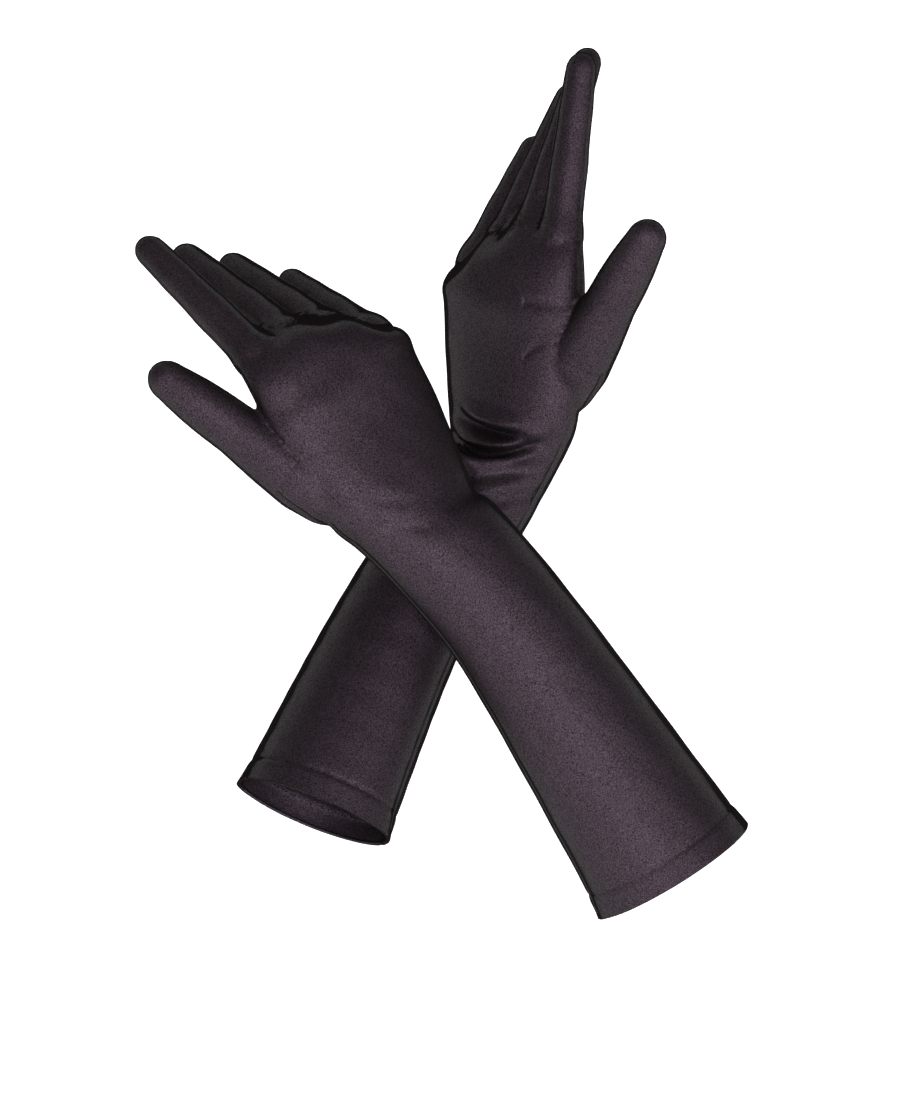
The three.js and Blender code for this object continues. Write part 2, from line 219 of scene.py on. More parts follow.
class Hand:
    """Where one glove's hand, fingers and thumb lie, read from the design's joints."""

    def __init__(self, side):
        self.name = side
        self.glove = GLOVES[side]
        self.side = self.glove["side"]
        wrist, _ = joint_at(f"{side}_wrist")
        self.hand = Place(wrist, self.glove["back"], self.glove["distal"])
        self.fingers = {}
        self.bend = {}
        for name, size in FINGERS.items():
            root, axis = joint_at(f"{side}_{name}_root")
            fold, _ = joint_at(f"{side}_{name}_fold")
            along = unit(fold - root)
            back = np.cross(along, axis)
            inward = PIVOT_DEPTH * FINGER_DEPTH * size["root"]
            self.fingers[name] = Place(root + back * inward, back, along)
            local = self.hand.into(self.hand.origin + along)
            self.bend[name] = math.atan2(-local[1], math.hypot(local[0], local[2]))
        thumb = self.glove["thumb"]
        root = self.hand.out(np.array(thumb["root"]) * (self.side, 1, 1))
        towards = self.hand.out(np.array(thumb["towards"]) * (self.side, 1, 1)) - self.hand.origin
        nail = self.hand.out(np.array(thumb["nail"]) * (self.side, 1, 1)) - self.hand.origin
        self.thumb = Place(root, nail, towards)

    def trunk_sections(self):
        """Rings of the sleeve and hand, with how far along each lies from the wrist."""
        glove = self.glove
        centres = [np.array(s["at"], float) for s in glove["sleeve"]] + [self.hand.origin]
        rings, alongs = [], []
        count = len(glove["sleeve"])
        for i, station in enumerate(glove["sleeve"]):
            tangent = unit(centres[i + 1] - centres[max(i - 1, 0)])
            turn = max(i - CUFF, 0) / (count - CUFF)
            facing = (1 - turn) * np.array(glove["cuff_back"]) + turn * np.array(glove["back"])
            place = Place(centres[i], facing, tangent)
            x, y = section(station["wide"], station["deep"], station["deep"], 2)
            rings.append(place.out(np.stack([self.side * x, y, 0 * x], 1)))
            lengths = [np.linalg.norm(centres[k + 1] - centres[k]) for k in range(i, count)]
            alongs.append(-sum(lengths))
            if i == CUFF:
                self.cuff = place
        for station in HAND_SECTIONS:
            x, y = section(station["wide"], station["back"], station["palm"], station["square"])
            x = self.side * (x + station["shift"])
            rings.append(self.hand.out(np.stack([x, y, 0 * x + station["along"]], 1)))
            alongs.append(station["along"])
        # The knuckles and the web: how far past the knuckles, and the share of the fingers' bend
        for shape, beyond, share in ((KNUCKLES, 0, 0.5), (WEB_SECTION, WEB + 1, 1)):
            x, y = section(shape["wide"], shape["back"], shape["palm"], shape["square"])
            lateral = x + shape["shift"]
            bend = across_fingers(lateral, self.bend)
            knuckle = across_fingers(lateral, {n: f["knuckle"] for n, f in FINGERS.items()})
            point = np.stack(
                [
                    self.side * lateral,
                    y * np.cos(bend * share) - beyond * np.sin(bend),
                    knuckle + y * np.sin(bend * share) + beyond * np.cos(bend),
                ],
                1,
            )
            rings.append(self.hand.out(point))
            alongs.append(KNUCKLE_ALONG + beyond)
        return rings, alongs


# A finger's two joints: place along its reach, how much wider it is there and over what length
FINGER_JOINTS = ((0.27, 0.35, 7), (0.62, 0.2, 5))


def finger_half(name, z):
    """A finger's half width at a distance from the web, with its two joints a little wider."""
    size = FINGERS[name]
    t = np.clip(z / size["reach"], 0, 1)
    half = size["root"] + (size["tip"] - size["root"]) * t
    for place, swell, spread in FINGER_JOINTS:
        half = half + swell * np.exp(-(((z - place * size["reach"]) / spread) ** 2))
    return half


def tube(place, lengths, halves, side):
    """Rings of a finger or thumb along a place's z axis."""
    rings = []
    for z, half in zip(lengths, halves):
        y = half * FINGER_DEPTH * np.sin(ANGLES)
        rings.append(place.out(np.stack([side * half * np.cos(ANGLES), y, 0 * y + z], 1)))
    return rings


DOME = 1.15  # length of a rounded end, of its half width


def rounded_end(end, half, steps=7):
    """Lengths and widths of a rounded end that closes a tube of a given half width."""
    dome = half * DOME
    turns = (np.arange(1, steps + 1) / (steps + 0.3)) * math.pi / 2
    return end - dome + dome * np.sin(turns), half * np.cos(turns)


def closed_mesh(rings):
    """Vertices and faces of a stack of rings, closed by a point at each end."""
    rings = np.array(rings)
    count, around = rings.shape[:2]
    verts = np.vstack([rings.reshape(-1, 3), rings[0].mean(0), rings[-1].mean(0)])
    faces = []
    for i in range(count - 1):
        for k in range(around):
            n = (k + 1) % around
            faces.append((i * around + k, i * around + n, (i + 1) * around + n, (i + 1) * around + k))
    first, last = count * around, count * around + 1
    for k in range(around):
        n = (k + 1) % around
        faces.append((n, k, first))
        faces.append(((count - 1) * around + k, (count - 1) * around + n, last))
    return verts, faces


TRUNK, THUMB = 0, 5
PARTS = {name: i + 1 for i, name in enumerate(FINGERS)}


def form(hand):
    """The solid forms of one glove, and samples of their surface: place, part, along, angle."""
    forms, samples = [], []

    def keep(rings, part, alongs):
        forms.append(closed_mesh(rings))
        for ring, along in zip(rings, alongs):
            row = np.column_stack([ring, np.full(ROUND, part), np.full(ROUND, along), ANGLES])
            samples.append(row)

    rings, alongs = hand.trunk_sections()
    per_span = 12
    fine = catmull(rings, per_span)
    keep(fine, TRUNK, catmull([np.array([a]) for a in alongs], per_span)[:, 0])
    for name, place in hand.fingers.items():
        size = FINGERS[name]
        lengths = np.arange(-FINGER_SUNK, size["reach"] - size["tip"] * DOME, RING_STEP)
        halves = finger_half(name, lengths)
        swell = FINGER_SWELL * np.sin(lengths / WEB * math.pi) ** 2
        halves = np.where(lengths < 0, halves + swell, halves)
        ends, end_halves = rounded_end(size["reach"], halves[-1])
        lengths = np.concatenate([lengths, ends])
        halves = np.concatenate([halves, end_halves])
        keep(tube(place, lengths, halves, hand.side), PARTS[name], lengths)
    lengths, halves = (np.array(column, float) for column in zip(*THUMB_SIZES))
    steps = np.arange(lengths[0], THUMB_REACH - THUMB_ROUND, RING_STEP)
    halves = np.interp(steps, lengths, halves)
    ends, end_halves = rounded_end(THUMB_REACH, halves[-1])
    steps, halves = np.concatenate([steps, ends]), np.concatenate([halves, end_halves])
    keep(tube(hand.thumb, steps, halves, -hand.side), THUMB, steps)
    return forms, np.vstack(samples)


# ---------------------------------------------------------------- the skin
def skin(forms):
    """One closed skin over overlapping forms, as vertices and quads."""
    verts, faces, base = [], [], 0
    for points, quads in forms:
        verts.append(points)
        faces += [tuple(base + v for v in face) for face in quads]
        base += len(points)
    mesh = bpy.data.meshes.new("skin")
    mesh.from_pydata((np.vstack(verts) * MM).tolist(), [], faces)
    obj = bpy.data.objects.new("skin", mesh)
    bpy.context.collection.objects.link(obj)
    remesh = obj.modifiers.new("remesh", "REMESH")
    remesh.mode = "VOXEL"
    remesh.voxel_size = VOXEL * MM
    remesh.adaptivity = 0
    depsgraph = bpy.context.evaluated_depsgraph_get()
    done = bpy.data.meshes.new_from_object(obj.evaluated_get(depsgraph))
    points = np.empty(len(done.vertices) * 3)
    done.vertices.foreach_get("co", points)
    quads = np.empty(len(done.loops), dtype=np.int64)
    done.loops.foreach_get("vertex_index", quads)
    bpy.data.objects.remove(obj)
    bpy.data.meshes.remove(mesh)
    bpy.data.meshes.remove(done)
    return points.reshape(-1, 3) / MM, quads.reshape(-1, 4)


class Net:
    """Neighbours of each vertex, for smoothing, and vertex normals."""

    def __init__(self, quads, count):
        self.quads = quads
        self.count = count
        pairs = np.vstack([quads[:, [k, (k + 1) % 4]] for k in range(4)])
        self.pairs = np.unique(np.sort(pairs, 1), axis=0)
        self.degree = np.bincount(self.pairs.ravel(), minlength=count).astype(float)

    def average(self, values):
        out = np.zeros((self.count, values.shape[1]))
        for k in range(values.shape[1]):
            a = np.bincount(self.pairs[:, 0], values[self.pairs[:, 1], k], self.count)
            b = np.bincount(self.pairs[:, 1], values[self.pairs[:, 0], k], self.count)
            out[:, k] = a + b
        return out / self.degree[:, None]

    def even_out(self, values, group, rounds):
        """Averages values with their neighbours in the same group, several times over."""
        same = group[self.pairs[:, 0]] == group[self.pairs[:, 1]]
        a, b = self.pairs[same, 0], self.pairs[same, 1]
        degree = np.bincount(a, minlength=self.count) + np.bincount(b, minlength=self.count)
        for _ in range(rounds):
            total = np.bincount(a, values[b], self.count) + np.bincount(b, values[a], self.count)
            values = np.where(degree > 0, 0.4 * values + 0.6 * total / np.maximum(degree, 1), values)
        return values

    def normals(self, points):
        a, b, c, d = (points[self.quads[:, k]] for k in range(4))
        faces = np.cross(c - a, d - b)
        out = np.zeros((self.count, 3))
        for k in range(4):
            for axis in range(3):
                out[:, axis] += np.bincount(self.quads[:, k], faces[:, axis], self.count)
        return out / np.linalg.norm(out, axis=1, keepdims=True)


def tighten(net, points, rounds):
    """Smooths the skin without shrinking it."""
    for _ in range(rounds):
        points = points + 0.6 * (net.average(points) - points)
        points = points - 0.57 * (net.average(points) - points)
    return points


def nearest_samples(points, samples):
    tree = KDTree(len(samples))
    for i, row in enumerate(samples):
        tree.insert(row[:3], i)
    tree.balance()
    return samples[[tree.find(p)[1] for p in points]]


def worn(hand):
    """The skin of one glove, drawn tight, and the sample of its form nearest to each vertex."""
    forms, samples = form(hand)
    points, quads = skin(forms)
    net = Net(quads, len(points))
    points = tighten(net, points, TIGHTEN)
    return points, net, nearest_samples(points, samples)


# ---------------------------------------------------------------- seams
class Seam:
    """Where a field over the skin crosses zero, as an ordered line of points."""

    def __init__(self, points, normals, net, field, mask, order, closed=False, step=2.0):
        a, b = net.pairs[:, 0], net.pairs[:, 1]
        cross = (field[a] * field[b] < 0) & mask[a] & mask[b]
        a, b = a[cross], b[cross]
        t = (field[a] / (field[a] - field[b]))[:, None]
        at = points[a] * (1 - t) + points[b] * t
        facing = normals[a] * (1 - t) + normals[b] * t
        key = order[a] * (1 - t[:, 0]) + order[b] * t[:, 0]
        self.points, self.normals = self.thin(at, facing, key, closed, step)

    @staticmethod
    def thin(at, facing, key, closed, step):
        """Gathers the crossings into one even line, in the order of their keys."""
        low, high = key.min(), key.max()
        bins = max(8, int(len(key) ** 0.5) * 3)
        which = np.minimum(((key - low) / (high - low) * bins).astype(int), bins - 1)
        kept = [k for k in range(bins) if np.any(which == k)]
        line = np.array([at[which == k].mean(0) for k in kept])
        out = np.array([facing[which == k].mean(0) for k in kept])
        for _ in range(4):
            before, after = np.roll(line, 1, 0), np.roll(line, -1, 0)
            smooth = 0.25 * before + 0.5 * line + 0.25 * after
            if not closed:
                smooth[0], smooth[-1] = line[0], line[-1]
            line = smooth
        if closed:
            line, out = np.vstack([line, line[:1]]), np.vstack([out, out[:1]])
        length = np.concatenate([[0], np.cumsum(np.linalg.norm(np.diff(line, axis=0), axis=1))])
        places = np.linspace(0, length[-1], max(3, int(length[-1] / step)))
        line = np.stack([np.interp(places, length, line[:, k]) for k in range(3)], 1)
        out = np.stack([np.interp(places, length, out[:, k]) for k in range(3)], 1)
        return line, out / np.linalg.norm(out, axis=1, keepdims=True)


def wrapped(angle):
    return (angle + math.pi) % (2 * math.pi) - math.pi


# ---------------------------------------------------------------- pieces
def make_mesh(name, verts, faces, material):
    mesh = bpy.data.meshes.new(name)
    mesh.from_pydata((np.asarray(verts) * MM).tolist(), [], [tuple(map(int, f)) for f in faces])
    obj = bpy.data.objects.new(name, mesh)
    bpy.context.collection.objects.link(obj)
    mesh.materials.append(material)
    mesh.polygons.foreach_set("use_smooth", np.ones(len(faces), bool))
    mesh.update()
    return obj


def cloth_piece(name, points, normals, quads, material, cloth=CLOTH):
    """A closed layer of cloth from some of the skin's faces: outer side, inner side and edge."""
    used, flat = np.unique(quads, return_inverse=True)
    quads = flat.reshape(-1, 4)
    count = len(used)
    outer, facing = points[used], normals[used]
    inner = outer - facing * cloth
    edges = np.vstack([quads[:, [k, (k + 1) % 4]] for k in range(4)])
    order = np.sort(edges, 1)
    _, first, times = np.unique(order, axis=0, return_index=True, return_counts=True)
    rim = edges[first[times == 1]]
    rim_quads = np.stack([rim[:, 1], rim[:, 0], rim[:, 0] + count, rim[:, 1] + count], 1)
    faces = np.vstack([quads, quads[:, ::-1] + count, rim_quads])
    verts = np.vstack([outer, inner])
    obj = make_mesh(name, verts, faces, material)
    start = 2 * len(quads)  # of the faces along the edge, which are flat
    smooth = np.arange(len(faces)) < start
    obj.data.polygons.foreach_set("use_smooth", smooth)
    # The two sides are shaded by the whole skin's normals, so that no panel's border shows
    shade = np.vstack([facing, -facing])[faces.ravel()]
    a, b, c = (verts[faces[start:, k]] for k in range(3))
    sideways = np.cross(b - a, c - a)
    sideways /= np.maximum(np.linalg.norm(sideways, axis=1, keepdims=True), 1e-9)
    shade[4 * start :] = np.repeat(sideways, 4, axis=0)
    obj.data.normals_split_custom_set(shade.tolist())
    return obj


STITCH_SLANT = 0.7  # turn of a zigzag stitch from its seam, in radians


def stitch_line(name, seam, pitch, length, width, material, zigzag=False, lift=0.1):
    """Small rounded stitches along a seam, in line with it or slanting to and fro."""
    line, out = seam.points, seam.normals
    run = np.concatenate([[0], np.cumsum(np.linalg.norm(np.diff(line, axis=0), axis=1))])
    places = np.arange(pitch / 2, run[-1] - pitch / 2, pitch)
    at = np.stack([np.interp(places, run, line[:, k]) for k in range(3)], 1)
    facing = np.stack([np.interp(places, run, out[:, k]) for k in range(3)], 1)
    facing /= np.linalg.norm(facing, axis=1, keepdims=True)
    tangent = np.gradient(at, axis=0)
    tangent -= facing * np.sum(tangent * facing, 1, keepdims=True)
    tangent /= np.linalg.norm(tangent, axis=1, keepdims=True)
    aside = np.cross(facing, tangent)
    if zigzag:
        swing = np.where(np.arange(len(places)) % 2 == 0, 1.0, -1.0)[:, None]
        tangent = tangent * math.cos(STITCH_SLANT) + aside * swing * math.sin(STITCH_SLANT)
        aside = np.cross(facing, tangent)
    around, levels = 6, 4
    rings = []
    for i in range(levels + 1):
        turn = -math.pi / 2 + math.pi * i / levels
        reach, half = math.sin(turn) * length / 2, max(math.cos(turn), 0.02) * width / 2
        for k in range(around):
            round_ = 2 * math.pi * k / around
            rings.append(
                at
                + facing * lift
                + tangent * reach
                + aside * half * math.cos(round_)
                + facing * half * 0.8 * math.sin(round_)
            )
    faces = []
    for first in range(0, len(places) * len(rings), len(rings)):
        for i in range(levels):
            for k in range(around):
                n = (k + 1) % around
                low, high = first + i * around, first + (i + 1) * around
                faces.append((low + k, low + n, high + n, high + k))
        faces.append(tuple(first + k for k in reversed(range(around))))
        faces.append(tuple(first + levels * around + k for k in range(around)))
    return make_mesh(name, np.stack(rings, 1).reshape(-1, 3), faces, material)


# ---------------------------------------------------------------- materials
def nodes_of(material):
    material.use_nodes = True
    return material.node_tree.nodes, material.node_tree.links


def satin(name, base, rough, grain=1.0):
    """Stretch satin: a broad soft gloss broken up by the fine grain of its floating threads."""
    material = bpy.data.materials.new(name)
    nodes, links = nodes_of(material)
    shader = nodes["Principled BSDF"]
    place = nodes.new("ShaderNodeTexCoord")

    def noise(scale, detail):
        node = nodes.new("ShaderNodeTexNoise")
        node.inputs["Scale"].default_value = scale
        node.inputs["Detail"].default_value = detail
        node.inputs["Roughness"].default_value = 0.6
        links.new(place.outputs["Object"], node.inputs["Vector"])
        return node.outputs["Fac"]

    def spread(value, low, high, to_low, to_high):
        node = nodes.new("ShaderNodeMapRange")
        node.inputs["From Min"].default_value = low
        node.inputs["From Max"].default_value = high
        node.inputs["To Min"].default_value = to_low
        node.inputs["To Max"].default_value = to_high
        links.new(value, node.inputs["Value"])
        return node.outputs["Result"]

    sparkle = noise(1700.0, 2.0)
    mottle = noise(300.0, 4.0)
    cloud = noise(28.0, 2.0)
    tone = nodes.new("ShaderNodeMixRGB")
    tone.inputs["Color1"].default_value = (*[c * 0.6 for c in base], 1)
    tone.inputs["Color2"].default_value = (*[c * 1.5 for c in base], 1)
    links.new(spread(sparkle, 0.35, 0.65, 0.0, 1.0), tone.inputs["Fac"])
    shade = nodes.new("ShaderNodeMixRGB")
    shade.blend_type = "MULTIPLY"
    shade.inputs["Fac"].default_value = 0.35
    links.new(tone.outputs["Color"], shade.inputs["Color1"])
    links.new(cloud, shade.inputs["Color2"])
    links.new(shade.outputs["Color"], shader.inputs["Base Color"])
    uneven = spread(mottle, 0.35, 0.65, rough - 0.04, rough + 0.04)
    links.new(uneven, shader.inputs["Roughness"])
    fine = nodes.new("ShaderNodeBump")
    fine.inputs["Strength"].default_value = grain
    fine.inputs["Distance"].default_value = 0.00022
    links.new(sparkle, fine.inputs["Height"])
    coarse = nodes.new("ShaderNodeBump")
    coarse.inputs["Strength"].default_value = 0.2 * grain
    coarse.inputs["Distance"].default_value = 0.0003
    links.new(mottle, coarse.inputs["Height"])
    links.new(fine.outputs["Normal"], coarse.inputs["Normal"])
    links.new(coarse.outputs["Normal"], shader.inputs["Normal"])
    shader.inputs["IOR"].default_value = 1.5
    # The gloss fades where the cloth turns away, and the grain breaks it up
    edge = nodes.new("ShaderNodeLayerWeight")
    edge.inputs["Blend"].default_value = 0.5
    shine = nodes.new("ShaderNodeMath")
    shine.operation = "MULTIPLY"
    links.new(spread(edge.outputs["Facing"], 0.12, 0.62, 0.5, 0.0), shine.inputs[0])
    links.new(spread(sparkle, 0.32, 0.68, 0.25, 1.75), shine.inputs[1])
    links.new(shine.outputs["Value"], shader.inputs["Specular IOR Level"])
    shader.inputs["Specular Tint"].default_value = (*GLOSS, 1)
    shader.inputs["Sheen Weight"].default_value = 0.006
    shader.inputs["Sheen Roughness"].default_value = 0.5
    return material


def plain(name, base, rough):
    material = bpy.data.materials.new(name)
    nodes, _ = nodes_of(material)
    shader = nodes["Principled BSDF"]
    shader.inputs["Base Color"].default_value = (*base, 1)
    shader.inputs["Roughness"].default_value = rough
    return material


GLOSS = (1.0, 0.72, 0.98)  # tint of the satin's shine
SATIN = satin("satin", (0.0125, 0.0094, 0.0104), 0.48)
HEM_SATIN = satin("hem_satin", (0.0108, 0.0082, 0.0092), 0.5, 1.2)
# Thread's own dark colour, made darker still so that the seam lines carry painted shade of the grooves
# they lie in; the stitches share it
THREAD_AND_SEAM_SHADE = plain("thread_and_seam_shade", (0.004, 0.003, 0.0035), 0.7)


# ---------------------------------------------------------------- folds and seams in the skin
# Creases of the cloth over the back of each hand: centre across and along, half length across,
# tilt, how far the ends curl towards the fingers, depth and half width
CREASES = {
    "left": [
        (8, 10, 19, -0.18, 1.5, 5.2, 2.8),
        (6, 0.5, 26, -0.02, 7.0, 4.4, 2.3),
        (-3, -8, 12, -0.45, 1.0, 4.4, 3.0),
        (12, -9, 18, 0.1, 3.0, 0.9, 3.2),
        (18, -20, 12, 0.3, 1.0, 0.9, 3.0),
        (-10, -24, 12, -0.3, -2.0, 0.8, 3.5),
    ],
    "right": [
        (16, 12, 12, 0.5, 1.0, 0.25, 3.2),
        (20, 2, 12, 0.6, 0.0, 0.3, 3.0),
        (4, -6, 16, 0.3, 1.0, 0.2, 4.0),
    ],
}
KNUCKLE_RISE = 0.5
KNUCKLE_ROUND = 9.0
CREST = {"along": 70.0, "slant": -0.22, "rise": 1.2, "width": 8.0}  # where the hand meets the fingers
VALLEY = {"depth": 1.4, "width": 2.6, "start": 90.0, "length": 20.0}  # between the fingers' roots
FINGER_RIDGE = {"rise": 0.9, "width": 5.0}  # along each finger's root
FLARE = 1.4  # how far the cuff stands out at its side seams
FLARE_LENGTH = 10.0
HEM_RISE = 0.35
HEM_GROOVE = {"depth": 0.45, "width": 1.3}  # along the hem's stitches
THUMB_GROOVE = {"depth": 0.8, "width": 0.08}  # along the thumb's seam, with its width in the oval's units
RIPPLE = 0.12  # height of the faint unevenness all over


def bell(value, width):
    return np.exp(-((value / width) ** 2))


def relief(glove):
    """How far the cloth stands out of its smooth form at each vertex, in millimetres."""
    across, along, up = glove.across, glove.local[:, 2], glove.local[:, 1]
    rise = np.zeros(len(along))
    on_back = smooth_step((up + 2) / 8) * (glove.part == TRUNK)
    for centre, start, half, tilt, curl, depth, width in CREASES[glove.side]:
        t = (across - centre) / half
        line = start + tilt * (across - centre) + curl * t * t
        gap = along - line
        fade = smooth_step(1.25 - np.abs(t)) * on_back
        rise += fade * depth * (-bell(gap, width) + 0.75 * bell(gap - 1.9 * width, 1.3 * width))
        rise += fade * depth * 0.35 * bell(gap + 1.9 * width, 1.4 * width)
    for name, size in FINGERS.items():
        gap = np.hypot(across - size["lateral"], (along - size["knuckle"] - 1) * 0.8)
        rise += KNUCKLE_RISE * bell(gap, KNUCKLE_ROUND) * smooth_step(up / 6)
    crest = along - CREST["along"] - CREST["slant"] * across
    rise += CREST["rise"] * bell(crest, CREST["width"]) * on_back
    valley = smooth_step((glove.along - VALLEY["start"]) / VALLEY["length"]) * (glove.part == TRUNK)
    places = [size["lateral"] for size in FINGERS.values()]
    for high, low in zip(places, places[1:]):
        rise -= VALLEY["depth"] * valley * bell(across - (high + low) / 2, VALLEY["width"])
    for place in places:
        rise += FINGER_RIDGE["rise"] * valley * bell(across - place, FINGER_RIDGE["width"])
    hem = smooth_step((HEM_HEIGHT + 0.6 - glove.from_cuff) / 1.2)
    rise += HEM_RISE * hem
    rise -= HEM_GROOVE["depth"] * bell(glove.from_cuff - HEM_HEIGHT, HEM_GROOVE["width"])
    side_seam = bell(np.sin(glove.angle), 0.22) * (glove.part == TRUNK)
    rise += FLARE * side_seam * bell(glove.from_cuff, FLARE_LENGTH)
    rise -= SEAM_DEPTH * bell(np.sin(glove.angle), 0.07) * (glove.part == TRUNK)
    rise -= THUMB_GROOVE["depth"] * bell(glove.oval, THUMB_GROOVE["width"])
    wave = np.sin(glove.points @ np.array([0.21, 0.11, 0.13]) + 1.3)
    wave = wave * np.sin(glove.points @ np.array([-0.07, 0.16, 0.19]) + 0.4)
    rise += RIPPLE * wave * (glove.part == TRUNK)
    return rise


# ---------------------------------------------------------------- the gloves
# The thumb's set-in seam is an oval round the thumb's axis: where along the hand its middle lies,
# half its length, its half widths towards the back and the palm, and how far out it must lie
OVAL = {"along": 42.0, "long": 27.0, "back": 9.0, "palm": 13.0, "outward": 12.0}
OVAL_FACING = (0.5, 0.85)  # of the way across and out of the back, for a line over the oval
OVAL_TURN_CENTRE = 50.0
THUMB_FREE = 6.0  # how far along the thumb it counts as clear of the hand


class Glove:
    """One glove's skin with its seams found, ready to be cut into pieces."""

    def __init__(self, side):
        self.side = side
        self.hand = Hand(side)
        self.points, self.net, near = worn(self.hand)
        self.part = near[:, 3].astype(int)
        self.along = self.net.even_out(near[:, 4], self.part, 6)
        cos, sin = (self.net.even_out(f(near[:, 5]), self.part, 6) for f in (np.cos, np.sin))
        self.angle = np.arctan2(sin, cos) + TINY
        self.normals = self.net.normals(self.points)
        self.local = self.hand.hand.into(self.points)
        self.across = self.local[:, 0] * self.hand.side
        self.cuff = self.hand.cuff
        self.from_cuff = self.cuff.into(self.points)[:, 2]
        self.find_thumb_oval()
        self.points = self.points + self.normals * relief(self)[:, None]
        self.even_cuff()
        self.normals = self.net.normals(self.points)

    def even_cuff(self):
        """Draws the vertices by the cuff's edge and by the hem's top onto those planes."""
        for height in (0.0, HEM_HEIGHT):
            gap = self.from_cuff - height
            near = np.abs(gap) < 0.55 * VOXEL
            self.points[near] -= gap[near, None] * self.cuff.z
            self.from_cuff[near] = height + 1e-6

    def find_thumb_oval(self):
        """How far outside the thumb's set-in seam each vertex lies, and the angle round it."""
        root = np.array(self.hand.glove["thumb"]["root"], float)
        lean = np.array(self.hand.glove["thumb"]["towards"], float)
        along = self.local[:, 2]
        axis = root + (along - root[2])[:, None] * lean / lean[2]
        lean_across, lean_up = OVAL_FACING
        w = lean_across * (self.across - axis[:, 0]) + lean_up * (self.local[:, 1] - axis[:, 1])
        outward = lean_up * self.across - lean_across * self.local[:, 1]
        half = np.where(w > 0, OVAL["back"], OVAL["palm"])
        reach = np.hypot((along - OVAL["along"]) / OVAL["long"], w / half)
        oval = np.where(outward > OVAL["outward"], reach - 1, 1.0)
        beyond = (self.part == THUMB) & (self.along > THUMB_FREE)
        everywhere = np.zeros(len(along))
        apart = self.net.even_out(np.where(beyond, -1.0, 1.0), everywhere, 10)
        self.oval = np.minimum(oval, apart) + TINY
        self.oval_turn = np.arctan2(w, along - OVAL_TURN_CENTRE)

    def seam(self, field, mask, order, closed=False, step=2.0):
        return Seam(self.points, self.normals, self.net, field, mask, order, closed, step)

    def faces(self, test):
        """The skin's faces whose corners mostly pass a test."""
        quads = self.net.quads
        return quads[test[quads].sum(1) >= 3]


STRIPS = ("back", "fourchette_inner", "palm", "fourchette_outer")


def strip_of(name, angle):
    """Which strip of a finger an angle round it falls in: an index into STRIPS."""
    turn = angle % (2 * math.pi)
    strip = np.where(turn < math.pi, 0, 2)
    inner = np.abs(turn - math.pi) < FOURCHETTE
    outer = (turn < FOURCHETTE) | (turn > 2 * math.pi - FOURCHETTE)
    if name != "little":
        strip = np.where(inner, 1, strip)
    if name != "index":
        strip = np.where(outer, 3, strip)
    return strip


def fold_split(name):
    """Where a finger's skin is cut between the piece by its root and its tip piece."""
    return FINGERS[name]["fold"] * 0.6


FINGER_START = -1.0  # a finger's pieces begin this far before its web
GUSSET_END = 28.0  # along the thumb
THUMB_SPLIT = 47.0  # along the thumb, where its cap begins


def labels(glove):
    """A number for the piece that each vertex belongs to, with the pieces' names."""
    names, label = [], np.full(len(glove.points), -1)

    def give(name, where):
        names.append(name)
        label[where] = len(names) - 1

    trunk_side = wrapped(glove.angle)
    on_trunk = glove.part == TRUNK
    back = np.where(on_trunk, trunk_side > 0, glove.local[:, 1] > 0)
    give("back_panel", back)
    give("palm_panel", ~back)
    thumb = glove.part == THUMB
    give("thumb_gusset", (glove.oval < 0) & (~thumb | (glove.along < GUSSET_END)))
    neck = (glove.along >= GUSSET_END) & (glove.along < THUMB_SPLIT)
    give("thumb_gusset_neck", thumb & neck)
    give("thumb_cap", thumb & (glove.along >= THUMB_SPLIT))
    for name in FINGERS:
        mine = glove.part == PARTS[name]
        strip = strip_of(name, glove.angle)
        base = mine & (glove.along >= FINGER_START) & (glove.along < fold_split(name))
        for k, strip_name in enumerate(STRIPS):
            if np.any(base & (strip == k)):
                give(f"{name}_{strip_name}_strip", base & (strip == k))
        give(f"{name}_cap", mine & (glove.along >= fold_split(name)))
    give("cuff", glove.from_cuff < HEM_HEIGHT)
    label[glove.from_cuff < 0] = -1
    return names, label


def face_labels(label, quads):
    """Each face takes the label that most of its corners have, or the highest on a tie."""
    corner = np.sort(label[quads], 1)
    best = corner[:, 3].copy()
    pair_low = (corner[:, 0] == corner[:, 1]) & (corner[:, 2] != corner[:, 3])
    middle = (corner[:, 1] == corner[:, 2]) & (corner[:, 2] != corner[:, 3])
    best = np.where(pair_low, corner[:, 0], best)
    best = np.where(middle, corner[:, 1], best)
    return np.where(corner[:, 0] < 0, -1, best)


WRIST_BEND = 20.0  # how far to each side of the wrist a bend would reach; it is passed on but no bend is made


def attach(side, glove, name, obj):
    """Makes a piece move with its body; a piece that spans a joint only has its transform baked into its
    mesh.
    """
    hand = glove.hand

    def bend(a, b, place, start, end):
        low, high = (place.out([0, 0, z]) * MM for z in (start, end))
        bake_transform(obj)

    finger = name.split("_")[0]
    if name.startswith(("back_panel", "palm_panel")):
        bend("sleeve", "hand", hand.hand, -WRIST_BEND, WRIST_BEND)
    elif name.startswith("cuff"):
        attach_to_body(obj, f"{side}_sleeve")
    elif name.startswith("thumb_gusset_neck"):
        bend("hand", "thumb_base", hand.thumb, GUSSET_END, THUMB_SPLIT - 3)
    elif name.startswith("thumb_cap"):
        bend("thumb_base", "thumb_end", hand.thumb, THUMB_SPLIT + 3, THUMB_SPLIT + 19)
    elif name.startswith("thumb"):
        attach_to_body(obj, f"{side}_hand")
    elif "_cap" in name:
        fold = FINGERS[finger]["fold"]
        bend(f"{finger}_base", f"{finger}_end", hand.fingers[finger], fold * 0.62, fold * 1.4)
    else:
        bend("hand", f"{finger}_base", hand.fingers[finger], 1, fold_split(finger) - 1)


def place_of(glove, name):
    """The frame whose z runs along a piece."""
    finger = name.split("_")[0]
    if finger in FINGERS:
        return glove.hand.fingers[finger]
    return glove.hand.thumb if finger == "thumb" else glove.cuff


